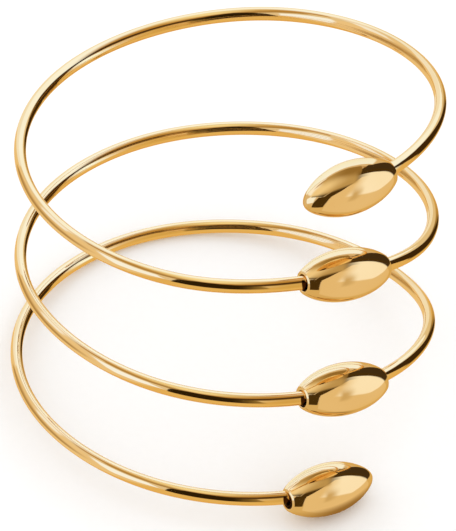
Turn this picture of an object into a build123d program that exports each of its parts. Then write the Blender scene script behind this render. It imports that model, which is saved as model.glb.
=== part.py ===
from build123d import *
import math
import os

# A spiral coil bracelet: one polished wire wound in three open turns, with an olive bead
# at each end and two more threaded on it, all four one above the other at the front right.
# The coil is built about its own upright axis, then leaned to the way it rests on a table.
# Sizes are in millimetres and angles in degrees. X is right, -Y is the front, Z is up.

# Wire: an oval section, taller along the coil's axis than it is thick
wire_height = 2.2
wire_thickness = 1.82

# Coil: radius to the middle of the wire at its waist, and how much wider each end turn is
waist_radius = 30.8
top_flare = 0.5
bottom_flare = 0.8
coil_rise = 51.8
axis_shift = 1.2

# The wire's route is a chain of tangent arcs, each about this long in degrees
ARC_STEP = 15.0

# Height of the wire over each turn, as shares of coil_rise above the bottom end
TURN_START = -60.0
ROW_STEP = 45.0
HEIGHT_ROWS = [
    # turned from the top end, top turn, middle turn, bottom turn
    (0, 1.000, 0.714, 0.326),
    (45, 1.000, 0.624, 0.272),
    (90, 0.972, 0.573, 0.204),
    (135, 0.939, 0.547, 0.196),
    (180, 0.892, 0.522, 0.189),
    (225, 0.849, 0.487, 0.160),
    (270, 0.799, 0.445, 0.109),
    (315, 0.749, 0.379, 0.048),
]

# Beads: an olive with a small rounded lip round each drilled end and a plain round closed end
bead_diameter = 7.8
drilled_half_length = 7.3
closed_half_length = 8.0
tip_radius = 2.2
lip_width = 0.14
lip_rounding = 0.06
bore_clearance = 0.16
bore_end_wall = 3.0
wire_end_gap = 0.6

# Where the gently curved belly of a bead ends, as shares of its drilled half and its radius
SHOULDER_ALONG = 0.5
SHOULDER_OUT = 0.874

BEAD_ROWS = [
    # node, place along the coil, drilled at its end behind, drilled at its end ahead
    ("top_end_bead", -55.4, False, True),
    ("upper_bead", 304.5, True, True),
    ("lower_bead", 665.1, True, True),
    ("bottom_end_bead", 1020.1, True, False),
]

# Lean of the coil where it rests on its bottom bead and on the back of its bottom turn
rest_pitch = -11.5
rest_roll = -3.25


def row_heights():
    """Heights of the wire at every row of the table, down all three turns to the bottom end."""
    turns = [[row[column] for row in HEIGHT_ROWS] for column in (1, 2, 3)]
    shares = [share for turn in turns for share in turn] + [0.0]
    return [share * coil_rise for share in shares]


def wire_level(angle):
    """Height of the wire at a turn angle, on a smooth curve through the table's rows."""
    heights = row_heights()
    place = (angle - TURN_START) / ROW_STEP
    row = min(max(int(math.floor(place)), 0), len(heights) - 2)
    along = place - row
    first, last = heights[row], heights[row + 1]
    before = heights[row - 1] if row > 0 else 2 * first - last
    after = heights[row + 2] if row + 2 < len(heights) else 2 * last - first
    leave = (last - before) / 2
    arrive = (after - first) / 2
    rise = last - first
    bend = 3 * rise - 2 * leave - arrive
    twist = leave + arrive - 2 * rise
    return first + along * (leave + along * (bend + along * twist))


def wire_point(angle, outward=1.0):
    """Middle of the wire at a turn angle; outward scales its distance from the coil's axis."""
    whole = len(row_heights()) - 1
    descent = 2 * (angle - TURN_START) / (ROW_STEP * whole) - 1
    flare = top_flare if descent < 0 else bottom_flare
    radius = (waist_radius + flare * descent**2) * outward
    turn = math.radians(angle)
    middle = -axis_shift / 2 * descent
    return Vector(middle + radius * math.cos(turn), radius * math.sin(turn), wire_level(angle))


def half_angle(length):
    """Turn angle that a length along the wire takes up, about the coil's axis."""
    return math.degrees(math.asin(length / waist_radius))


def bead_sagitta():
    """How far the wire bows sideways between the two mouths of a bead drilled right through."""
    return waist_radius * (1 - math.cos(math.radians(half_angle(drilled_half_length))))


def bore_radius():
    """Radius of the straight bore that lets the curved wire through with its clearance."""
    return (wire_thickness + bead_sagitta()) / 2 + bore_clearance


def bead_plane(angle):
    """Plane at a bead's middle whose Z axis is the bore, aimed along the wire's descent."""
    reach = half_angle(drilled_half_length)
    back, front = wire_point(angle - reach), wire_point(angle + reach)
    middle = ((back + front) / 2 + wire_point(angle)) / 2
    return Plane(origin=middle, z_dir=front - back)


def belly_arc(side):
    """Outline of a bead from its belly to its shoulder; side is 1 or -1 along the bore."""
    shoulder = (SHOULDER_OUT * bead_diameter / 2, side * SHOULDER_ALONG * drilled_half_length)
    return TangentArc((bead_diameter / 2, 0), shoulder, tangent=(0, side))


def drilled_outline(side):
    """Outline of a drilled half: tangent arcs to the mouth, then the lip's face to the axis."""
    end = side * drilled_half_length
    mouth = (bore_radius() + lip_width, end)
    belly = belly_arc(side)
    shoulder = TangentArc(belly @ 1, mouth, tangent=belly % 1)
    return belly + shoulder + Line(mouth, (0, end))


def closed_outline(side):
    """Outline of a closed half: tangent arcs that run into a round tip centred on the axis."""
    belly = belly_arc(side)
    start, heading = belly @ 1, belly % 1
    inward = Vector(-abs(heading.Y), -side * abs(heading.X))
    tip_centre = Vector(0, side * (closed_half_length - tip_radius))
    offset = start - tip_centre
    radius = (tip_radius**2 - offset.dot(offset)) / (2 * (inward.dot(offset) + tip_radius))
    shoulder_centre = start + inward * radius
    crown = shoulder_centre + (tip_centre - shoulder_centre).normalized() * radius
    shoulder = TangentArc(start, crown, tangent=heading)
    return belly + shoulder + TangentArc(crown, (0, side * closed_half_length), tangent=shoulder % 1)


def bead_blank(drilled_back, drilled_ahead):
    """Undrilled bead about its Z axis; each half has a flat mouth if drilled, else a round tip."""
    back = drilled_outline(-1) if drilled_back else closed_outline(-1)
    ahead = drilled_outline(1) if drilled_ahead else closed_outline(1)
    core = Line(back.edges()[-1] @ 1, ahead.edges()[-1] @ 1)
    profile = make_face(back.edges() + ahead.edges() + [core])
    return revolve(Plane.XZ * profile, axis=Axis.Z)


def make_bead(angle, drilled_back, drilled_ahead):
    """One olive bead set on the wire, drilled through or only from the end that is open."""
    bead = bead_blank(drilled_back, drilled_ahead)
    blind_end = closed_half_length - bore_end_wall
    low = -drilled_half_length if drilled_back else -blind_end
    high = drilled_half_length if drilled_ahead else blind_end
    bead -= Pos(0, 0, (low + high) / 2) * Cylinder(bore_radius(), high - low)
    if drilled_back:
        bead = fillet(bead.edges().group_by(Axis.Z)[0], lip_rounding)
    if drilled_ahead:
        bead = fillet(bead.edges().group_by(Axis.Z)[-1], lip_rounding)
    return bead_plane(angle) * bead


def wire_ends():
    """Turn angles of the two cut ends of the wire, short of the bottoms of the blind bores."""
    reach = half_angle(closed_half_length - bore_end_wall - wire_end_gap)
    return BEAD_ROWS[0][1] - reach, BEAD_ROWS[-1][1] + reach


def tangent_route():
    """Route of the wire as a chain of arcs, each tangent to the next, from the top end down."""
    first, last = wire_ends()
    count = round((last - first) / ARC_STEP)
    step = (last - first) / count
    spread = 1 / math.cos(math.radians(step / 2))
    corners = [wire_point(first + step * (index + 0.5), spread) for index in range(count)]
    joint = wire_point(first)
    arcs = []
    for index, corner in enumerate(corners):
        ahead = corners[index + 1] if index + 1 < count else wire_point(last)
        leave = corner + (ahead - corner).normalized() * (corner - joint).length
        arcs.append(TangentArc(joint, leave, tangent=corner - joint))
        joint = leave
    return Wire([arc.edge() for arc in arcs])


def make_wire():
    """The coiled wire: the oval section swept along its route, upright all the way."""
    route = tangent_route()
    start, heading = route @ 0, route % 0
    outward = Vector(start.X, start.Y, 0).normalized()
    section = Plane(origin=start, x_dir=outward, z_dir=heading) * Ellipse(wire_thickness / 2, wire_height / 2)
    guide = Pos(0, 0, wire_height) * route
    return sweep(section, path=route, binormal=guide)


def build():
    """All the pieces, leaned to their resting pose with the origin below the middle of their box."""
    pieces = {"coil_wire": make_wire()}
    for name, angle, drilled_back, drilled_ahead in BEAD_ROWS:
        pieces[name] = make_bead(angle, drilled_back, drilled_ahead)
    lean = Rot(rest_pitch, rest_roll, 0)
    leaned = {name: lean * piece for name, piece in pieces.items()}
    box = Compound(list(leaned.values())).bounding_box(optimal=True)
    stand = Pos(-box.center().X, -box.center().Y, -box.min.Z)
    return {name: stand * piece for name, piece in leaned.items()}


os.makedirs("parts", exist_ok=True)
for name, piece in build().items():
    export_step(piece, f"parts/{name}.step")
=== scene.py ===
"""Spiral coil bracelet in polished gold, on a pale floor under soft studio light.

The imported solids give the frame. The wire and the four beads are made again here with finer
surfaces, in metres, +Z up, where those solids stand. The coil is laid out about its own upright
axis and then leaned to the way it rests on its bottom bead and on the back of its bottom turn.

The room is even and white. What the polished gold mirrors comes from two tents of soft-edged
cards, one for the beads and one for the wire, which nothing else sees.
"""

import logging
import math
from collections.abc import Sequence
from dataclasses import dataclass
from enum import Enum

import bmesh
import bpy
from mathutils import Matrix, Vector

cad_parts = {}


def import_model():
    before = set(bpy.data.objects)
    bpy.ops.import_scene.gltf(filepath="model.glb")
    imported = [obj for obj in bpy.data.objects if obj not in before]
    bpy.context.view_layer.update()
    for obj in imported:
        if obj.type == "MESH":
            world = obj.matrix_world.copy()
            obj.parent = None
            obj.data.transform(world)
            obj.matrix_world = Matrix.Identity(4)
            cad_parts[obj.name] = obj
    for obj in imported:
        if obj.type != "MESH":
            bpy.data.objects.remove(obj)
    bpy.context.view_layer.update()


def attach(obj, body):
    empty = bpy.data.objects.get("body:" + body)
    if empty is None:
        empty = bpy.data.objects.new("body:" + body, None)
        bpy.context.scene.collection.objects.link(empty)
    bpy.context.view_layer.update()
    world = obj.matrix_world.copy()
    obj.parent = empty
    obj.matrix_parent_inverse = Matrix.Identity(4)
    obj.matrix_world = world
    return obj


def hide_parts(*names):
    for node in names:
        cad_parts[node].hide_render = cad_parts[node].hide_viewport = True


Material = bpy.types.Material
Node = bpy.types.Node
Piece = bpy.types.Object
Socket = bpy.types.NodeSocket
Tree = bpy.types.NodeTree
Pair = tuple[float, float]
Triple = tuple[float, float, float]
Colour = tuple[float, float, float]
Four = tuple[float, float, float, float]

LOG = logging.getLogger("bracelet")
MM = 0.001


class BeadEnd(Enum):
    """How one end of a bead is finished."""

    DRILLED = "drilled"
    CLOSED = "closed"


def turned(angle: float, axis: str) -> Matrix:
    """Turn by an angle in degrees about X, Y or Z."""
    return Matrix.Rotation(math.radians(angle), 4, axis)


def add_object(name: str, data: bpy.types.ID) -> Piece:
    """Makes an object of a mesh, a curve or a camera and puts it in the scene.

    Args:
        name: The object's name.
        data: What it shows.

    Returns:
        The object, at the origin.
    """
    made = bpy.data.objects.new(name, data)
    bpy.context.scene.collection.objects.link(made)
    return made


def lay_square(name: str, centre: Vector, half: float, finish: Material) -> Piece:
    """Lays a level square that faces up.

    Args:
        name: The object's name.
        centre: The middle of the square.
        half: Half the length of its side.
        finish: Its material.

    Returns:
        The object.
    """
    signs = ((-1, -1), (1, -1), (1, 1), (-1, 1))
    corners = [centre + Vector((half * x, half * y, 0.0)) for x, y in signs]
    mesh = bpy.data.meshes.new(name)
    mesh.from_pydata(corners, [], [(0, 1, 2, 3)])
    mesh.materials.append(finish)
    return add_object(name, mesh)


def show_to_polish_only(shape: Piece) -> None:
    """Hides an object from all rays but those that polish reflects."""
    shape.visible_camera = shape.visible_diffuse = False
    shape.visible_shadow = shape.visible_transmission = False


def join(tree: Tree, *links: tuple[Node, str | int, Node, str | int]) -> None:
    """Links nodes; each row gives a node and its output, then a node and its input."""
    for source, output, target, entry in links:
        tree.links.new(source.outputs[output], target.inputs[entry])


def add_sockets(tree: Tree, side: str, kind: str, *names: str) -> None:
    """Adds inputs or outputs of one kind to a node group."""
    for name in names:
        tree.interface.new_socket(name, in_out=side, socket_type=f"NodeSocket{kind}")


def bare_tree(owner: Material | bpy.types.World) -> Tree:
    """Gives a new material or world a node tree with nothing in it.

    Args:
        owner: The material or the world.

    Returns:
        The tree.
    """
    owner.use_nodes = True
    owner.node_tree.nodes.clear()
    return owner.node_tree


def start_material(name: str) -> tuple[Material, Tree, Node, Node]:
    """Starts a node material.

    Args:
        name: The material's name.

    Returns:
        The material, its tree, its shader and its texture coordinate node.
    """
    made = bpy.data.materials.new(name)
    made.use_nodes = True
    tree = made.node_tree
    return made, tree, tree.nodes["Principled BSDF"], tree.nodes.new("ShaderNodeTexCoord")


def feed(tree: Tree, node: Node, inputs: dict[str | int, Socket | float | Triple]) -> None:
    """Gives a node its inputs.

    Args:
        tree: The node's tree.
        node: The node.
        inputs: For each input another node's output, a number, a vector or a colour.
    """
    for name, value in inputs.items():
        entry = node.inputs[name]
        if isinstance(value, Socket):
            tree.links.new(value, entry)
        else:
            entry.default_value = (*value, 1.0) if entry.type == "RGBA" else value


def smooth_step(tree: Tree, value: Socket, start: Socket | float, end: Socket | float) -> Socket:
    """Adds a smooth step from nought to one.

    Args:
        tree: The tree to add it to.
        value: What the step follows.
        start: The value where it leaves nought.
        end: The value where it reaches one, on either side of the start.

    Returns:
        The step.
    """
    step = tree.nodes.new("ShaderNodeMapRange")
    step.interpolation_type = "SMOOTHSTEP"
    feed(tree, step, {"Value": value, "From Min": start, "From Max": end})
    return step.outputs["Result"]


def blend(tree: Tree, share: Socket, below: Socket | Colour, above: Socket | Colour) -> Socket:
    """Adds a mix of two colours.

    Args:
        tree: The tree to add it to.
        share: How much of the upper colour shows.
        below: The lower colour, or the socket that gives it.
        above: The upper colour, or the socket that gives it.

    Returns:
        The mixed colour.
    """
    mix = tree.nodes.new("ShaderNodeMix")
    mix.data_type = "RGBA"
    feed(tree, mix, {"Factor": share, "A": below, "B": above})
    return mix.outputs["Result"]


@dataclass(frozen=True)
class Grain:
    """Noise on a piece's own coordinates: cycles per metre, and octaves of finer noise."""

    scale: float
    detail: float = 2.0

    def lay(self, tree: Tree, place: Node) -> Socket:
        """Adds the noise to a material.

        Args:
            tree: The material's node tree.
            place: Its texture coordinate node.

        Returns:
            The noise, between nought and one.
        """
        noise = tree.nodes.new("ShaderNodeTexNoise")
        feed(tree, noise, {"Scale": self.scale, "Detail": self.detail})
        join(tree, (place, "Object", noise, "Vector"))
        return noise.outputs["Fac"]

    def tint(self, tree: Tree, place: Node, deep: Colour, bright: Colour) -> Socket:
        """Adds a colour that drifts between two with the noise."""
        return blend(tree, self.lay(tree, place), deep, bright)


@dataclass(frozen=True)
class OvalShade:
    """Soft-edged oval: the painted shade on the wire at a bead's mouth, or the shade on the floor.
    """

    middle: Triple
    turn: Triple
    reach: Triple
    softness: float = 0.12

    def mask(self, tree: Tree, place: Node) -> Socket:
        """Adds the nodes that are one inside the oval and nought outside it.

        Args:
            tree: The material's node tree.
            place: Its texture coordinate node.

        Returns:
            The mask.
        """
        oval = tree.nodes.new("ShaderNodeMapping")
        oval.vector_type = "TEXTURE"
        feed(tree, oval, {"Location": self.middle, "Rotation": self.turn, "Scale": self.reach})
        out = tree.nodes.new("ShaderNodeVectorMath")
        out.operation = "LENGTH"
        join(tree, (place, "Object", oval, "Vector"), (oval, "Vector", out, 0))
        return smooth_step(tree, out.outputs["Value"], 1.0, 1.0 - self.softness)


@dataclass(frozen=True)
class GoldFinish:
    """Mirror-polished gold plating.

    The tint drifts a little over a few millimetres, and the polish leaves faint waves and a
    few duller patches, so that reflections aren't perfectly even. Where the wire runs into a
    bead's mouth, a dark colour is painted on it as shade.
    """

    bright: Colour = (0.92, 0.66, 0.31)
    deep: Colour = (0.88, 0.60, 0.25)
    rim: Colour = (0.97, 0.82, 0.55)
    # Colour of the painted shade on the wire at the beads' mouths
    painted_shade: Colour = (0.05, 0.016, 0.003)
    smoothest: float = 0.035
    dullest: float = 0.075
    drift: Grain = Grain(160.0)
    patches: Grain = Grain(640.0, 3.0)
    waves: Grain = Grain(420.0, 1.0)
    wave_depth: float = 0.02

    def material(self, name: str, shades: Sequence[OvalShade] = ()) -> Material:
        """Builds the node material.

        Args:
            name: The material's name.
            shades: Ovals where painted shade darkens the gold.

        Returns:
            The gold material, ready for a slot.
        """
        made, tree, shader, place = start_material(name)
        colour = self.drift.tint(tree, place, self.deep, self.bright)
        for shade in shades:
            # Painted shade where the wire runs into a bead's mouth
            colour = blend(tree, shade.mask(tree, place), colour, self.painted_shade)
        feed(tree, shader, {"Metallic": 1.0, "Specular Tint": self.rim, "Base Color": colour})
        spread = tree.nodes.new("ShaderNodeMapRange")
        dulled = self.patches.lay(tree, place)
        feed(tree, spread, {"Value": dulled, "To Min": self.smoothest, "To Max": self.dullest})
        bump = tree.nodes.new("ShaderNodeBump")
        waved = self.waves.lay(tree, place)
        feed(tree, bump, {"Height": waved, "Strength": self.wave_depth, "Distance": MM})
        join(tree, (spread, "Result", shader, "Roughness"), (bump, "Normal", shader, "Normal"))
        return made


@dataclass(frozen=True)
class DullFinish:
    """Surface without polish, whose tint drifts with a fine grain."""

    name: str
    deep: Colour
    bright: Colour
    roughness: float
    grain: Grain
    metal: float = 0.0
    gloss: float = 0.5

    def material(self) -> Material:
        """Builds the node material.

        Returns:
            The material, ready for a slot.
        """
        made, tree, shader, place = start_material(self.name)
        inputs = {
            "Metallic": self.metal,
            "Roughness": self.roughness,
            "Specular IOR Level": self.gloss,
            "Base Color": self.grain.tint(tree, place, self.deep, self.bright),
        }
        feed(tree, shader, inputs)
        return made


# Bare metal left dull by the drill inside the beads; its dark brown is painted shade in the bore
DULL_BORE_IN_PAINTED_SHADE = DullFinish(
    "dull_bore_in_painted_shade", (0.25, 0.10, 0.03), (0.42, 0.19, 0.06), 0.6, Grain(1500.0), metal=0.2
)

# Matt paper with a fine, faint fibre, on the floor
PALE_PAPER = DullFinish(
    "pale_paper", (0.93, 0.93, 0.93), (0.95, 0.95, 0.95), 0.9, Grain(900.0), gloss=0.1
)


@dataclass(frozen=True)
class Rest:
    """Where the upright coil goes when it leans back and rests on the floor."""

    pitch: float = -11.5
    roll: float = -3.25
    shift: Triple = (1.5514 * MM, -4.7091 * MM, -2.1652 * MM)

    def matrix(self) -> Matrix:
        """Coil frame to the part's frame."""
        return Matrix.Translation(self.shift) @ (turned(self.pitch, "X") @ turned(self.roll, "Y"))


@dataclass(frozen=True)
class CoilCourse:
    """Middle line of the wire about the coil's own axis, from the top end down.

    Each turn's heights are shares of the coil's rise, one for every row_step degrees.
    """

    waist_radius: float = 30.8 * MM
    top_flare: float = 0.5 * MM
    bottom_flare: float = 0.8 * MM
    rise: float = 51.8 * MM
    axis_shift: float = 1.2 * MM
    turn_start: float = -60.0
    row_step: float = 45.0
    top_turn: tuple[float, ...] = (1.000, 1.000, 0.972, 0.939, 0.892, 0.849, 0.799, 0.749)
    middle_turn: tuple[float, ...] = (0.714, 0.624, 0.573, 0.547, 0.522, 0.487, 0.445, 0.379)
    bottom_turn: tuple[float, ...] = (0.326, 0.272, 0.204, 0.196, 0.189, 0.160, 0.109, 0.048)

    def rows(self) -> tuple[float, ...]:
        """Heights at every row, down all three turns to the bottom end."""
        return (*self.top_turn, *self.middle_turn, *self.bottom_turn, 0.0)

    def level(self, angle: float) -> float:
        """Height of the wire.

        Args:
            angle: Turn angle in degrees.

        Returns:
            The height above the bottom end, in metres, on a smooth curve through the rows.
        """
        rows = self.rows()
        place = (angle - self.turn_start) / self.row_step
        row = min(max(math.floor(place), 0), len(rows) - 2)
        along = place - row
        first, last = rows[row], rows[row + 1]
        before = rows[row - 1] if row > 0 else 2 * first - last
        after = rows[row + 2] if row + 2 < len(rows) else 2 * last - first
        leave, arrive, rise = (last - before) / 2, (after - first) / 2, last - first
        bend = 3 * rise - 2 * leave - arrive
        twist = leave + arrive - 2 * rise
        return self.rise * (first + along * (leave + along * (bend + along * twist)))

    def point(self, angle: float) -> Vector:
        """Middle of the wire.

        Args:
            angle: Turn angle in degrees.

        Returns:
            The point, in the coil's frame.
        """
        whole = self.row_step * (len(self.rows()) - 1)
        descent = 2 * (angle - self.turn_start) / whole - 1
        flare = self.top_flare if descent < 0 else self.bottom_flare
        radius = self.waist_radius + flare * descent**2
        turn = math.radians(angle)
        middle = -self.axis_shift / 2 * descent
        across, deep = middle + radius * math.cos(turn), radius * math.sin(turn)
        return Vector((across, deep, self.level(angle)))

    def reach(self, length: float) -> float:
        """Turn angle in degrees that a length along the wire takes up."""
        return math.degrees(math.asin(length / self.waist_radius))


@dataclass
class CoilWire:
    """The coiled wire: an oval section swept down three open turns."""

    course: CoilCourse
    rest: Rest
    finish: Material
    start: float
    end: float
    name: str = "wire_of_the_coil"
    height: float = 2.19 * MM
    thickness: float = 1.80 * MM
    rings: int = 1700
    sides: int = 48

    def build(self) -> Piece:
        """Sweeps the wire and sets it in place.

        Returns:
            The wire's mesh object, standing for its CAD node.
        """
        line = self._course_line()
        sweep = line.modifiers.new("sweep", "NODES")
        sweep.node_group = self._sweep_tree()
        inputs = {
            "Wire Height": self.height,
            "Wire Thickness": self.thickness,
            "Rings": self.rings,
            "Sides": self.sides,
            "Finish": self.finish,
        }
        for item in sweep.node_group.interface.items_tree:
            if item.name in inputs:
                sweep[item.identifier] = inputs[item.name]
        graph = bpy.context.evaluated_depsgraph_get()
        mesh = bpy.data.meshes.new_from_object(line.evaluated_get(graph), depsgraph=graph)
        bpy.data.objects.remove(line, do_unlink=True)
        mesh.transform(self.rest.matrix())
        mesh.name = self.name
        return add_object(self.name, mesh)

    def _course_line(self) -> Piece:
        """Lays the middle line of the wire.

        Returns:
            The curve object, in the coil's frame.
        """
        curve = bpy.data.curves.new("course", "CURVE")
        curve.dimensions = "3D"
        points = curve.splines.new("POLY").points
        last = self.rings - 1
        points.add(last)
        for index, point in enumerate(points):
            angle = self.start + (self.end - self.start) * index / last
            point.co = (*self.course.point(angle), 1.0)
        return add_object("course", curve)

    @staticmethod
    def _sweep_tree() -> Tree:
        """Node tree that sweeps an oval along the incoming curve, upright all the way.

        Returns:
            The tree, with its sizes as named inputs.
        """
        tree = bpy.data.node_groups.new("oval_wire_sweep", "GeometryNodeTree")
        add_sockets(tree, "INPUT", "Geometry", "Geometry")
        add_sockets(tree, "INPUT", "Float", "Wire Height", "Wire Thickness")
        add_sockets(tree, "INPUT", "Int", "Rings", "Sides")
        add_sockets(tree, "INPUT", "Material", "Finish")
        add_sockets(tree, "OUTPUT", "Geometry", "Geometry")
        new = tree.nodes.new
        given, result = new("NodeGroupInput"), new("NodeGroupOutput")
        even = new("GeometryNodeResampleCurve")
        upright = new("GeometryNodeSetCurveNormal")
        upright.mode = "Z_UP"
        # A circle one across, for the wire's sizes to stretch
        circle = new("GeometryNodeCurvePrimitiveCircle")
        feed(tree, circle, {"Radius": 0.5})
        oval = new("GeometryNodeTransform")
        size = new("ShaderNodeCombineXYZ")
        feed(tree, size, {"Z": 1.0})
        sweep = new("GeometryNodeCurveToMesh")
        feed(tree, sweep, {"Fill Caps": True})
        smooth = new("GeometryNodeSetShadeSmooth")
        real = new("GeometryNodeRealizeInstances")
        dress = new("GeometryNodeSetMaterial")
        join(
            tree,
            (given, "Geometry", even, "Curve"),
            (given, "Rings", even, "Count"),
            (even, "Curve", upright, "Curve"),
            (given, "Sides", circle, "Resolution"),
            (given, "Wire Thickness", size, "X"),
            (given, "Wire Height", size, "Y"),
            (circle, "Curve", oval, "Geometry"),
            (size, "Vector", oval, "Scale"),
            (upright, "Curve", sweep, "Curve"),
            (oval, "Geometry", sweep, "Profile Curve"),
            (sweep, "Mesh", smooth, "Geometry"),
            (smooth, "Geometry", real, "Geometry"),
            (real, "Geometry", dress, "Geometry"),
            (given, "Finish", dress, "Material"),
            (dress, "Geometry", result, "Geometry"),
        )
        return tree


@dataclass
class OliveBead:
    """One olive-shaped bead, drilled through or only from the end that is open.

    Its outline is a smooth curve from the belly to a small rounded lip at a drilled end, or to
    a plain round tip at a closed end. It hangs on the wire, a little low and a little turned,
    so the mouths sit low on the wire. Its own frame has Z along the bore and Y up.
    """

    name: str
    node: str
    place: float
    behind: BeadEnd
    ahead: BeadEnd
    # How much longer than the plain one the bead's tail half and head half are
    tail_growth: float
    head_growth: float
    # How far it has sunk on the wire, and how many degrees it has nodded and swung
    hang: float
    nod: float
    swing: float
    course: CoilCourse
    rest: Rest
    finish: Material
    bore_finish: Material
    # Belly and tips; belly_spread is the share of a quarter turn that spaces the belly's rings
    radius: float = 3.9 * MM
    drilled_half: float = 7.3 * MM
    closed_half: float = 8.0 * MM
    belly_fullness: float = 0.617
    belly_spread: float = 0.86
    tip_slimness: float = 0.22
    # Mouth and lip; the belly stops lip_start roundings short of the mouth, and each edge of the
    # lip turns from an angle by an angle, in a few steps
    mouth_radius: float = 1.25 * MM
    mouth_drop: float = 0.20 * MM
    lip_width: float = 0.38 * MM
    lip_rounding: float = 0.18 * MM
    lip_start: float = 0.6
    outer_edge: tuple[float, float, int] = (40.0, 50.0, 6)
    inner_edge: tuple[float, float, int] = (90.0, 90.0, 8)
    # Bore, which widens behind the mouth, where mouth_wall is the straight share of the relief
    bore_radius: float = 1.60 * MM
    bore_relief: float = 0.7 * MM
    mouth_wall: float = 0.4
    bore_end_wall: float = 3.0 * MM
    bore_margin: float = 0.01 * MM
    # How far the whole bead sits in from the wire's bow, towards the coil's axis
    inward: float = 0.10 * MM
    # Painted shade on the wire at each drilled mouth: how low, how tilted, how large, and how far
    # out of the mouth
    shade_drop: float = 0.40 * MM
    shade_tilt: float = -26.0
    shade_overhang: float = 0.1
    tail_shade: Triple = (1.60 * MM, 1.25 * MM, 0.52 * MM)
    head_shade: Triple = (1.60 * MM, 1.35 * MM, 0.26 * MM)
    # Rings along each half, and corners round each ring
    steps: int = 72
    segments: int = 192

    def build(self) -> Piece:
        """Turns the outline and sets the bead on the wire.

        Returns:
            The bead's mesh object, standing for its CAD node.
        """
        mesh = self._lathe()
        mesh.transform(self.rest.matrix() @ self._seat() @ self._slack())
        mesh.materials.append(self.finish)
        mesh.materials.append(self.bore_finish)
        return add_object(self.name, mesh)

    def mouth_shades(self) -> list[OvalShade]:
        """Ovals of painted shade on the wire at the bead's mouths.

        Returns:
            One oval of painted shade for each drilled end.
        """
        shades = []
        low, high = self._bore_depths()
        for end, reach, mouth in (
            (self.behind, self.tail_shade, low - self.shade_overhang * self.tail_shade[2]),
            (self.ahead, self.head_shade, high + self.shade_overhang * self.head_shade[2]),
        ):
            if end is BeadEnd.DRILLED:
                middle = Matrix.Translation((0.0, -self.shade_drop, mouth))
                seated = self.rest.matrix() @ self._seat() @ middle
                frame = seated @ turned(self.shade_tilt, "X")
                turn = tuple(frame.to_euler())
                shades.append(OvalShade(tuple(frame.to_translation()), turn, reach))
        return shades

    def _seat(self) -> Matrix:
        """Places the bead's Z axis along the wire's descent, midway between its sag and its bow.

        Returns:
            The bead's plain place in the coil's frame, before it sinks, nods and swings.
        """
        point = self.course.point
        reach = self.course.reach(self.drilled_half)
        back, front = point(self.place - reach), point(self.place + reach)
        middle = ((back + front) / 2 + point(self.place)) / 2
        middle -= Vector((middle.x, middle.y, 0.0)).normalized() * self.inward
        turn = (front - back).to_track_quat("Z", "Y").to_matrix().to_4x4()
        return Matrix.Translation(middle) @ turn

    def _slack(self) -> Matrix:
        """How the bead has sunk, nodded and swung on the wire, in its own frame."""
        sunk = Matrix.Translation((0.0, -self.hang, 0.0))
        return sunk @ (turned(self.nod, "X") @ turned(self.swing, "Y"))

    def _outline(self) -> list[Triple]:
        """The whole outline, with the bottom of the bore where one end is closed.

        Returns:
            Rings from tail to head (radius, place along the axis, drop of the middle).
        """
        tail = [(out, -along) for out, along in self._half(self.behind, self.tail_growth)]
        head = self._half(self.ahead, self.head_growth)
        run = [(out, along, self._drop(out, along)) for out, along in [*reversed(tail), *head[1:]]]
        low, high = self._bore_depths()
        if self.behind is BeadEnd.CLOSED:
            run = [*run, *((out, low, self._sink(low)) for out in (self.bore_radius, 0.0))]
        if self.ahead is BeadEnd.CLOSED:
            run = [*((out, high, self._sink(high)) for out in (0.0, self.bore_radius)), *run]
        return run

    def _half(self, end: BeadEnd, growth: float) -> list[Pair]:
        """Half outline from the belly outwards.

        Args:
            end: How this end is finished.
            growth: How much longer this half is than the plain one.

        Returns:
            Points (distance from the axis, distance along it).
        """
        if end is BeadEnd.CLOSED:
            return self._closed_half(self.closed_half + growth)
        return self._drilled_half(self.drilled_half + growth)

    def _closed_half(self, length: float) -> list[Pair]:
        """Belly to round tip, with the points closer together towards the tip.

        Args:
            length: From the belly to the tip.

        Returns:
            Points (distance from the axis, distance along it).
        """
        points = []
        for index in range(self.steps + 1):
            share = math.sin(math.pi / 2 * index / self.steps)
            out = math.sqrt(max(1 - share**2, 0.0)) * (1 - self.tip_slimness * share**2)
            points.append((self.radius * out, length * share))
        points[-1] = (0.0, length)
        return points

    def _drilled_half(self, length: float) -> list[Pair]:
        """Belly to lip, round the lip's two edges, and in past the mouth to the wider bore.

        Args:
            length: From the belly to the mouth.

        Returns:
            Points (distance from the axis, distance along it).
        """
        outer = self.mouth_radius + self.lip_width
        tightness = 1 - (outer / self.radius) ** (1 / self.belly_fullness)
        points = []
        for index in range(self.steps + 1):
            turn = math.pi / 2 * index / self.steps * self.belly_spread
            share = math.sin(turn) / math.sin(math.pi / 2 * self.belly_spread)
            out = (1 - tightness * share**2) ** self.belly_fullness
            points.append((self.radius * out, length * share))
        rounding = self.lip_rounding
        points = [point for point in points if point[1] < length - rounding * self.lip_start]
        points += self._lip_edge(outer - rounding, length, self.outer_edge)
        points += self._lip_edge(self.mouth_radius + rounding, length, self.inner_edge)
        points.append((self.mouth_radius, length - self.mouth_wall * self.bore_relief))
        points.append((self.bore_radius, length - self.bore_relief))
        return points

    def _lip_edge(
        self, centre: float, length: float, sweep: tuple[float, float, int]
    ) -> list[Pair]:
        """One of the lip's two rounded edges.

        Args:
            centre: Distance of the rounding's centre from the axis.
            length: From the belly to the mouth.
            sweep: The angle that it starts at, the angle that it turns by, and its steps.

        Returns:
            Points (distance from the axis, distance along it).
        """
        start, turned_by, steps = sweep
        rounding = self.lip_rounding
        points = []
        for index in range(steps + 1):
            turn = math.radians(start + turned_by * index / steps)
            out = centre + rounding * math.cos(turn)
            points.append((out, length - rounding + rounding * math.sin(turn)))
        return points

    def _sink(self, along: float) -> float:
        """How far the middle of the bore lies below the bead's axis at a place along it."""
        return self.mouth_drop - self.hang - along * math.sin(math.radians(self.nod))

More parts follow.
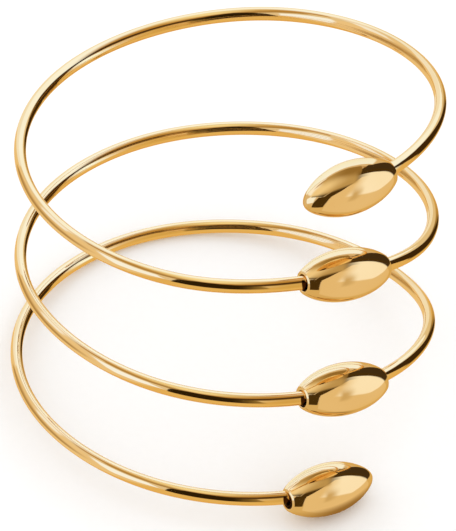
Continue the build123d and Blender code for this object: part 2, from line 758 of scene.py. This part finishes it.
    def _drop(self, out: float, along: float) -> float:
        """Drop of the middle of a ring: none outside the lip, all of it at the mouth.

        Args:
            out: The ring's radius.
            along: Its place along the axis.

        Returns:
            How far its middle lies below the bead's axis.
        """
        end = self.behind if along < 0.0 else self.ahead
        if end is BeadEnd.CLOSED or abs(along) < self.drilled_half / 2:
            return 0.0
        share = (self.mouth_radius + self.lip_width - out) / self.lip_width
        return self._sink(along) * min(max(share, 0.0), 1.0)

    def _bore_depths(self) -> Pair:
        """Finds where the bore starts and ends.

        Returns:
            Its lowest and highest place along the bead's axis.
        """
        blind = self.closed_half - self.bore_end_wall
        low = -self.drilled_half - self.tail_growth if self.behind is BeadEnd.DRILLED else -blind
        high = self.drilled_half + self.head_growth if self.ahead is BeadEnd.DRILLED else blind
        return low, high

    def _lathe(self) -> bpy.types.Mesh:
        """Turns the outline about the Z axis into a closed shell.

        Returns:
            The mesh, with faces pointing outwards and the bore in its own finish.
        """
        work = bmesh.new()
        rings = []
        for out, along, drop in self._outline():
            count = self.segments if out else 1
            turns = [2 * math.pi * index / self.segments for index in range(count)]
            around = [(out * math.cos(turn), out * math.sin(turn) - drop) for turn in turns]
            rings.append([work.verts.new((*corner, along)) for corner in around])
        if BeadEnd.CLOSED not in (self.behind, self.ahead):
            rings.append(rings[0])
        for first, second in zip(rings, rings[1:]):
            self._skin(work, first, second)
        bmesh.ops.recalc_face_normals(work, faces=work.faces)
        for face in work.faces:
            face.smooth = True
            face.material_index = int(self._in_bore(face))
        mesh = bpy.data.meshes.new(self.name)
        work.to_mesh(mesh)
        work.free()
        return mesh

    def _in_bore(self, face: bmesh.types.BMFace) -> bool:
        """Tells the faces of the bore, past the lip, from the polished ones.

        Args:
            face: A face of the bead before it is placed.

        Returns:
            True inside the bore.
        """
        middle = face.calc_center_median()
        out = math.hypot(middle.x, middle.y + self._sink(middle.z))
        low, high = self._bore_depths()
        inside = low + self.lip_rounding < middle.z < high - self.lip_rounding
        return inside and out < self.bore_radius + self.bore_margin

    @staticmethod
    def _skin(
        work: bmesh.types.BMesh, first: list[bmesh.types.BMVert], second: list[bmesh.types.BMVert]
    ) -> None:
        """Joins two neighbouring rings, either of which may be one point on the axis.

        Args:
            work: The mesh being made.
            first: One ring.
            second: The next ring.
        """
        count = max(len(first), len(second))
        for index in range(count):
            after = (index + 1) % count
            corners = (
                first[index % len(first)],
                first[after % len(first)],
                second[after % len(second)],
                second[index % len(second)],
            )
            work.faces.new(list(dict.fromkeys(corners)))


@dataclass
class Bracelet:
    """The whole bracelet: the coiled wire with a bead at each end and two between."""

    gold: GoldFinish = GoldFinish()
    bore: DullFinish = DULL_BORE_IN_PAINTED_SHADE
    course: CoilCourse = CoilCourse()
    rest: Rest = Rest()
    wire_end_gap: float = 0.6 * MM

    def beads(self) -> list[OliveBead]:
        """The four beads, from the top end down.

        Returns:
            The beads, not yet built.
        """
        drilled, closed = BeadEnd.DRILLED, BeadEnd.CLOSED
        # Name, node, place along the coil, ends behind and ahead; then the growth of tail and
        # head, the hang, the nod and the swing
        rows = (
            ("olive_at_top_end", "top_end_bead", -55.4, closed, drilled,
             0.20 * MM, 0.0, 0.26 * MM, -0.5, 0.0),
            ("olive_upper", "upper_bead", 304.5, drilled, drilled,
             0.08 * MM, -0.10 * MM, 0.0, -1.9, -3.0),
            ("olive_lower", "lower_bead", 665.1, drilled, drilled,
             0.0, -0.12 * MM, 0.15 * MM, 0.5, -3.0),
            ("olive_at_bottom_end", "bottom_end_bead", 1020.1, drilled, closed,
             -0.17 * MM, 0.05 * MM, 0.02 * MM, -1.5, 3.6),
        )
        gold, bore = self.gold.material("polished_gold_of_beads"), self.bore.material()
        return [OliveBead(*row, self.course, self.rest, gold, bore) for row in rows]

    def build(self) -> None:
        """Builds the wire and the beads and gives each its place in the frame."""
        beads = self.beads()
        last = beads[-1]
        reach = self.course.reach(last.closed_half - last.bore_end_wall - self.wire_end_gap)
        # The wire's gold carries painted shade where it runs into each bead's mouth
        shades = [shade for bead in beads for shade in bead.mouth_shades()]
        gold = self.gold.material("polished_gold_of_wire_with_painted_shade", shades)
        wire = CoilWire(self.course, self.rest, gold, beads[0].place - reach, last.place + reach)
        self._place(wire.build(), "coil_wire", "gold_wire")
        for bead in beads:
            self._place(bead.build(), bead.node, "gold_bead")

    @staticmethod
    def _place(piece: Piece, node: str, slot: str) -> None:
        """Rides a piece on the body, in its node's stead.

        Args:
            piece: The finished piece.
            node: The CAD node that it stands for.
            slot: The material slot; not used.
        """
        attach(piece, "root")
        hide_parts(node)
        piece.data.calc_loop_triangles()
        count = len(piece.data.loop_triangles)
        LOG.info("%s stands for %s: %d triangles", piece.name, node, count)


@dataclass
class ProductCamera:
    """Long-lens camera before the bracelet, a little less than halfway up to overhead.

    Its elevation, in degrees, and its target are in the coil's own frame.
    """

    rest: Rest
    distance: float = 1.0
    elevation: float = 32.121
    target: Triple = (0.297 * MM, 0.0, 22.37 * MM)
    focal_length: float = 450.9
    sensor_width: float = 36.0
    nearest: float = 0.05
    farthest: float = 50.0

    def build(self) -> Piece:
        """Makes the camera and the scene's view from it.

        Returns:
            The camera object.
        """
        data = bpy.data.cameras.new("product_camera")
        data.sensor_width = self.sensor_width
        data.lens = self.focal_length
        data.clip_start = self.nearest
        data.clip_end = self.farthest
        camera = add_object("product_camera", data)
        rise = math.radians(self.elevation)
        right = Vector((1.0, 0.0, 0.0))
        up = Vector((0.0, math.sin(rise), math.cos(rise)))
        back = Vector((0.0, -math.cos(rise), math.sin(rise)))
        place = Vector(self.target) + back * self.distance
        turn = Matrix((right, up, back)).transposed().to_4x4()
        camera.matrix_world = self.rest.matrix() @ Matrix.Translation(place) @ turn
        bpy.context.scene.camera = camera
        return camera


@dataclass(frozen=True)
class TentCard:
    """One flat soft-edged card of a light tent, or the dark of a gap in it.

    It faces the bracelet from an azimuth and an elevation in degrees, with azimuth 0 the front
    and 90 the right, and is turned by a roll in its own plane. Its sides are left, right, bottom
    and top on a plane at a distance of 1, and its soft edges have widths in the same order.
    """

    name: str
    facing: Triple
    sides: Four
    soft: Four
    colour: Colour

    def axes(self) -> tuple[Vector, Vector, Vector]:
        """Directions from the bracelet to the card, across it and up it.

        Returns:
            The three unit vectors.
        """
        azimuth, elevation, roll = (math.radians(angle) for angle in self.facing)
        level_share = math.cos(elevation)
        right, front = math.sin(azimuth) * level_share, -math.cos(azimuth) * level_share
        ahead = Vector((right, front, math.sin(elevation)))
        level = Vector((math.cos(azimuth), math.sin(azimuth), 0.0))
        upward = ahead.cross(level)
        across = level * math.cos(roll) + upward * math.sin(roll)
        return ahead, across, upward * math.cos(roll) - level * math.sin(roll)


@dataclass
class CardNodes:
    """Node group that lays one soft-edged card over what is behind it."""

    group: Tree

    AXES = ("Ahead", "Across", "Upward")
    SIDES = ("Left", "Right", "Bottom", "Top")
    # Which way each side's soft edge runs inwards
    INWARD = (1.0, -1.0, 1.0, -1.0)
    # How far before the bracelet, along a card's facing, a point of the tent has to be
    NEAREST = 0.1

    def lay(self, tree: Tree, card: TentCard) -> Node:
        """Adds a node of this group to a material.

        Args:
            tree: The material's node tree.
            card: The card that the node shows.

        Returns:
            The node, with its direction and what is behind the card still to be linked.
        """
        node = tree.nodes.new("ShaderNodeGroup")
        node.node_tree = self.group
        node.label = card.name
        inputs = {"Card": card.colour, **dict(zip(self.AXES, card.axes()))}
        for name, side, soft, sign in zip(self.SIDES, card.sides, card.soft, self.INWARD):
            inputs[f"{name} Outer"] = side - sign * soft / 2
            inputs[f"{name} Inner"] = side + sign * soft / 2
        feed(tree, node, inputs)
        return node

    def build(self) -> None:
        """Fills the group, with the card's place, edges and colour as inputs."""
        edges = [f"{name} {line}" for name in self.SIDES for line in ("Outer", "Inner")]
        add_sockets(self.group, "INPUT", "Vector", "Direction", *self.AXES)
        add_sockets(self.group, "INPUT", "Float", *edges)
        add_sockets(self.group, "INPUT", "Color", "Behind", "Card")
        add_sockets(self.group, "OUTPUT", "Color", "Colour")
        given = self.group.nodes.new("NodeGroupInput").outputs
        way = given["Direction"]
        ahead, across, upward = (
            self._math("DOT_PRODUCT", way, given[name], kind="VectorMath") for name in self.AXES
        )
        mask = self._math("GREATER_THAN", ahead, self.NEAREST)
        depth = self._math("MAXIMUM", ahead, self.NEAREST)
        across = self._math("DIVIDE", across, depth)
        upward = self._math("DIVIDE", upward, depth)
        for name, place in zip(self.SIDES, (across, across, upward, upward)):
            outer, inner = given[f"{name} Outer"], given[f"{name} Inner"]
            edge = smooth_step(self.group, place, outer, inner)
            mask = self._math("MULTIPLY", mask, edge)
        result = self.group.nodes.new("NodeGroupOutput")
        laid = blend(self.group, mask, given["Behind"], given["Card"])
        feed(self.group, result, {"Colour": laid})

    def _math(self, operation: str, *values: Socket | float, kind: str = "Math") -> Socket:
        """Adds a node that works something out.

        Args:
            operation: The node's operation.
            values: Sockets or numbers for its inputs, in order.
            kind: Whether it is a Math or a VectorMath node.

        Returns:
            The number that it gives.
        """
        node = self.group.nodes.new(f"ShaderNode{kind}")
        node.operation = operation
        feed(self.group, node, dict(enumerate(values)))
        return node.outputs["Value"]


@dataclass
class LightTent:
    """Tent of pale cards and dark gaps that only the polish of the pieces in it reflects.

    It is a large sphere whose glow passes through everything else, and light linking keeps it
    to its own pieces, as in a product photograph put together from two exposures. Each card
    lies over those named before it. The two tents differ in radius, so that they never meet.
    """

    name: str
    pieces: tuple[str, ...]
    behind: Colour
    cards: tuple[tuple[str, Triple, Four, Four, Colour], ...]
    radius: float = 5.0
    height: float = 0.029
    fineness: int = 4

    def build(self, nodes: CardNodes) -> Piece:
        """Makes the sphere, its glow and its light linking.

        Args:
            nodes: The node group for the cards.

        Returns:
            The sphere.
        """
        work = bmesh.new()
        bmesh.ops.create_icosphere(work, subdivisions=self.fineness, radius=self.radius)
        mesh = bpy.data.meshes.new(self.name)
        work.to_mesh(mesh)
        work.free()
        mesh.materials.append(self._glow(nodes))
        tent = add_object(self.name, mesh)
        tent.location.z = self.height
        show_to_polish_only(tent)
        lit = bpy.data.collections.new(f"lit_by_{self.name}")
        for piece in self.pieces:
            lit.objects.link(bpy.data.objects[piece])
        tent.light_linking.receiver_collection = lit
        return tent

    def _glow(self, nodes: CardNodes) -> Material:
        """Clear material that adds the cards' light in the direction of each point of the sphere.

        Args:
            nodes: The node group for the cards.

        Returns:
            The material.
        """
        made = bpy.data.materials.new(f"{self.name}_glow")
        made.cycles.emission_sampling = "NONE"
        tree = bare_tree(made)
        place = tree.nodes.new("ShaderNodeTexCoord")
        glow = tree.nodes.new("ShaderNodeEmission")
        under = self.behind
        for row in self.cards:
            node = nodes.lay(tree, TentCard(*row))
            feed(tree, node, {"Direction": place.outputs["Object"], "Behind": under})
            under = node.outputs["Colour"]
        feed(tree, glow, {"Color": under})
        clear = tree.nodes.new("ShaderNodeBsdfTransparent")
        both = tree.nodes.new("ShaderNodeAddShader")
        out = tree.nodes.new("ShaderNodeOutputMaterial")
        join(
            tree,
            (glow, "Emission", both, 0),
            (clear, "BSDF", both, 1),
            (both, "Shader", out, "Surface"),
        )
        return made


@dataclass
class RoomLight:
    """Even, neutral light for everything but the polish, which sees the tents instead."""

    colour: Colour = (1.0, 1.0, 1.0)
    strength: float = 1.18

    def build(self) -> None:
        """Makes the world."""
        world = bpy.data.worlds.new("room_light")
        tree = bare_tree(world)
        room = tree.nodes.new("ShaderNodeBackground")
        feed(tree, room, {"Color": self.colour, "Strength": self.strength})
        dark = tree.nodes.new("ShaderNodeBackground")
        feed(tree, dark, {"Strength": 0.0})
        path = tree.nodes.new("ShaderNodeLightPath")
        mix = tree.nodes.new("ShaderNodeMixShader")
        out = tree.nodes.new("ShaderNodeOutputWorld")
        join(
            tree,
            (path, "Is Glossy Ray", mix, "Fac"),
            (room, "Background", mix, 1),
            (dark, "Background", mix, 2),
            (mix, "Shader", out, "Surface"),
        )
        bpy.context.scene.world = world


@dataclass(frozen=True)
class FloorShade:
    """Shade under the lowest bead, for the polish, which doesn't see the floor itself."""

    name: str = "floor_shade"
    oval: OvalShade = OvalShade(
        (19.4 * MM, -31.4 * MM, 0.03 * MM), (0.0, 0.0, 0.5), (10.8 * MM, 8.6 * MM, MM), 0.8
    )
    colour: Colour = (0.34, 0.225, 0.10)

    def build(self) -> None:
        """Lays the shade on the floor."""
        centre, reach = Vector(self.oval.middle), max(self.oval.reach)
        shade = lay_square(self.name, centre, reach, self._material())
        show_to_polish_only(shade)

    def _material(self) -> Material:
        """Builds the material: the shade's colour within the oval, and clear outside it.

        Returns:
            The material.
        """
        made = bpy.data.materials.new(self.name)
        tree = bare_tree(made)
        place = tree.nodes.new("ShaderNodeTexCoord")
        glow = tree.nodes.new("ShaderNodeEmission")
        feed(tree, glow, {"Color": self.colour})
        clear = tree.nodes.new("ShaderNodeBsdfTransparent")
        mix = tree.nodes.new("ShaderNodeMixShader")
        out = tree.nodes.new("ShaderNodeOutputMaterial")
        feed(tree, mix, {"Fac": self.oval.mask(tree, place)})
        join(
            tree,
            (clear, "BSDF", mix, 1),
            (glow, "Emission", mix, 2),
            (mix, "Shader", out, "Surface"),
        )
        return made


# The cards' places, edges and colours are fitted so that, seen from the camera's side, the
# polish shows the panels, lamps and dark gaps of the studio in the photograph. Each card's row
# gives its name, the way it faces, its sides, the widths of its soft edges and its colour
BEAD_TENT = LightTent(
    "bead_tent",
    ("olive_at_top_end", "olive_upper", "olive_lower", "olive_at_bottom_end"),
    (0.77, 0.67, 0.56),
    (
        ("floor", (0, -90, 33.7), (-11.83, 12.09, -12.08, 12.25),
         (8.05, 8, 7.92, 8.01), (0.76, 0.61, 0.36)),
        ("left_wall", (-73.8, 12.5, 27.8), (-1.4, 1.63, 0.7, 2.68),
         (0.2, 0.2, 0.2, 0.2), (1.08, 1.27, 1.85)),
        ("left_wall_foot", (-94.7, -6.2, 7.3), (-0.7, 0.87, -0.7, -0.03),
         (0.19, 0.13, 0.09, 0.04), (0.78, 0.68, 0.52)),
        ("left_lamp", (-107.5, 1.6, 2.9), (0.01, -0.04, 0.36, 0.8),
         (0.02, 0.12, 0.09, 0.07), (1.05, 1.28, 2.07)),
        ("front_left_lamp", (-63.8, 50, 47.5), (-0.84, 0.22, -0.84, 0.16),
         (0.12, 0.12, 0.09, 0.02), (1.05, 1.3, 1.97)),
        ("front_left_head", (-31.2, 49.5, -3), (-0.69, 0.27, 0.06, 0.49),
         (0.02, 0.02, 0.03, 0.2), (0.02, 0.01, 0)),
        ("lens_gap", (-33, 9.8, 4.2), (0.18, 0.91, -0.71, 0.86),
         (0.02, 0.02, 0.05, 0.02), (0.07, 0.042, 0.01)),
        ("top_right_gap", (88, 53.6, -16.4), (-1.55, 1.27, -0.77, 0.43),
         (0.02, 0.05, 0.02, 0.02), (0.07, 0.042, 0.01)),
        ("back_right_gap", (92.7, -18.9, -21.5), (0.18, 1.87, 0.25, 4.56),
         (0.02, 0.04, 0.05, 0.05), (0.06, 0.04, 0.02)),
        ("right_panel", (68.8, -6.1, 4.7), (-1.58, 0.93, -1.53, 1.87),
         (0.02, 0.05, 0.35, 0.05), (0.87, 0.75, 0.57)),
        ("right_panel_light", (106.4, 59.8, 6.5), (-2.03, 0.2, -3.09, -0.14),
         (0.7, 0.2, 0.7, 0.5), (1.08, 1.18, 1.48)),
        ("right_panel_fold", (54, 35.8, -19.7), (-0.03, 0.23, -0.95, -0.06),
         (0.15, 0.31, 0.6, 0.65), (0.69, 0.57, 0.38)),
        ("top_right_gap_foot", (106.4, 59.8, 12.3), (0.1, 0.32, -1.6, 0.0),
         (0.03, 0.2, 0.5, 0.1), (0.07, 0.042, 0.01)),
        ("back_panel", (164.8, -18.4, 22.1), (0.16, 2.04, -0.48, 0.97),
         (0.05, 0.03, 0.04, 0.02), (1.05, 1.34, 2.15)),
        ("back_panel_head", (-133.2, 24.5, -26.3), (-2.06, -0.06, 0.14, 0.27),
         (0.07, 0.2, 0.1, 0.06), (0.44, 0.25, 0.06)),
        ("roof", (0, 90, 24), (-0.37, 0.62, -0.53, 1.14),
         (0.3, 0.3, 0.3, 0.3), (0.56, 0.44, 0.25)),
        ("roof_back", (0, 90, 11.3), (-0.11, 0.66, 0.28, 1.24),
         (0.7, 0.02, 0.7, 0.27), (0.33, 0.22, 0.08)),
        ("roof_middle", (0, 90, -31.9), (-1.05, 0.06, -0.63, 0.18),
         (0.7, 0.7, 0.44, 0.7), (0.97, 0.9, 0.76)),
    ),
)

WIRE_TENT = LightTent(
    "wire_tent",
    ("wire_of_the_coil",),
    (0.84, 0.81, 0.79),
    (
        ("floor", (0, -90, 16.4), (-12, 11.62, -12.94, 12.86),
         (7.97, 7.96, 7.75, 7.76), (0.85, 0.65, 0.32)),
        ("left_wall", (-91.9, -37.7, 24.2), (-1.36, 1.64, -0.44, 3.28),
         (0.2, 0.13, 0.2, 0.03), (0.92, 0.83, 0.71)),
        ("left_wall_foot", (-111.7, 13.4, -17.6), (-0.22, 1.15, -0.82, -0.21),
         (0.07, 0.7, 0.7, 0.7), (0.46, 0.33, 0.17)),
        ("left_lamp", (-114.1, 7.4, 29.4), (0.16, 0.51, -0.01, 0.57),
         (0.12, 0.12, 0.12, 0.12), (1.03, 1.24, 1.95)),
        ("front_left_lamp", (-92.2, -8.1, 17.3), (0.66, 2.06, -0.48, 0.68),
         (0.12, 0.12, 0.12, 0.12), (1.06, 1.37, 2.36)),
        ("front_left_head", (-3.9, 49.5, -42.5), (-0.9, 0.46, -0.42, 0.4),
         (0.02, 0.2, 0.2, 0.11), (0.46, 0.33, 0.16)),
        ("back_right_gap_foot", (138, -15, 0), (-0.5, 0.24, -0.4, 0.22),
         (0.15, 0.5, 0.2, 0.2), (0.13, 0.08, 0.025)),
        ("lens_gap", (45.8, -3.3, 5.1), (-2.91, -0.46, -0.31, 3.1),
         (0.02, 0.06, 0.06, 0.06), (0.03, 0.018, 0.004)),
        ("top_right_gap", (58.8, 69.5, -11.8), (-0.84, 1.12, -1.28, 0.86),
         (0.06, 0.05, 0.05, 0.06), (0.09, 0.05, 0.02)),
        ("back_right_gap", (164.1, 24.5, 18.6), (-3.15, -0.73, -1.57, 1.94),
         (0.02, 0.06, 0.02, 0.02), (0.05, 0.028, 0.008)),
        ("right_panel", (11.1, 27.8, 21.5), (-0.27, 2.06, 0.26, 0.11),
         (0.02, 0.06, 0.3, 0.06), (1.12, 0.87, 0.51)),
        ("right_panel_light", (45.5, -52, -42.6), (-0.38, 0.19, 0.81, 3.57),
         (0.7, 0.7, 0.37, 0.16), (1.14, 1.59, 2.51)),
        ("right_panel_fold", (41.4, -0.4, -2.2), (-0.36, 0.15, -0.66, 0.42),
         (0.7, 0.7, 0.65, 0.3), (0.72, 0.53, 0.2)),
        ("back_panel", (173.8, 4.9, -30.4), (0.08, 0.94, -0.6, 0.89),
         (0.06, 0.06, 0.02, 0.02), (1, 1.16, 1.67)),
        ("back_panel_head", (160.9, 58.6, -14.9), (-0.48, 0.9, -0.05, 0.75),
         (0.08, 0.02, 0.02, 0.2), (0.87, 0.47, 0)),
        ("roof", (0, 90, -43.7), (-0.74, 0.89, -0.7, 2.49),
         (0.06, 0.06, 0.06, 0.02), (0.56, 0.36, 0.12)),
        ("roof_back", (4.8, 90, -13.8), (-0.98, 1.82, 0.26, 5.43),
         (0.7, 0.7, 0.7, 0.7), (1.08, 1.38, 2.2)),
        ("roof_middle", (0, 90, 0.9), (-0.22, 0.08, -0.63, 0.4),
         (0.7, 0.7, 0.61, 0.52), (1.25, 1.37, 1.27)),
    ),
    radius=5.5,
)


@dataclass
class Studio:
    """Pale floor, the room's light, the two light tents and the camera."""

    rest: Rest
    paper: DullFinish = PALE_PAPER
    floor_half: float = 6.0

    def build(self) -> None:
        """Builds the whole studio."""
        self._floor()
        RoomLight().build()
        cards = CardNodes(bpy.data.node_groups.new("tent_card", "ShaderNodeTree"))
        cards.build()
        BEAD_TENT.build(cards)
        WIRE_TENT.build(cards)
        FloorShade().build()
        ProductCamera(self.rest).build()
        bpy.context.scene.view_settings.view_transform = "Standard"

    def _floor(self) -> None:
        """Lays the pale floor, in whose place the polish sees the lower half of the tents."""
        floor = lay_square("pale_floor", Vector(), self.floor_half, self.paper.material())
        floor.visible_glossy = False


def main() -> None:
    """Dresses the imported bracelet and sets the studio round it."""
    logging.basicConfig(level=logging.INFO, format="%(name)s: %(message)s")
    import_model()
    rest = Rest()
    Bracelet(rest=rest).build()
    Studio(rest).build()


if __name__ == "__main__":
    main()
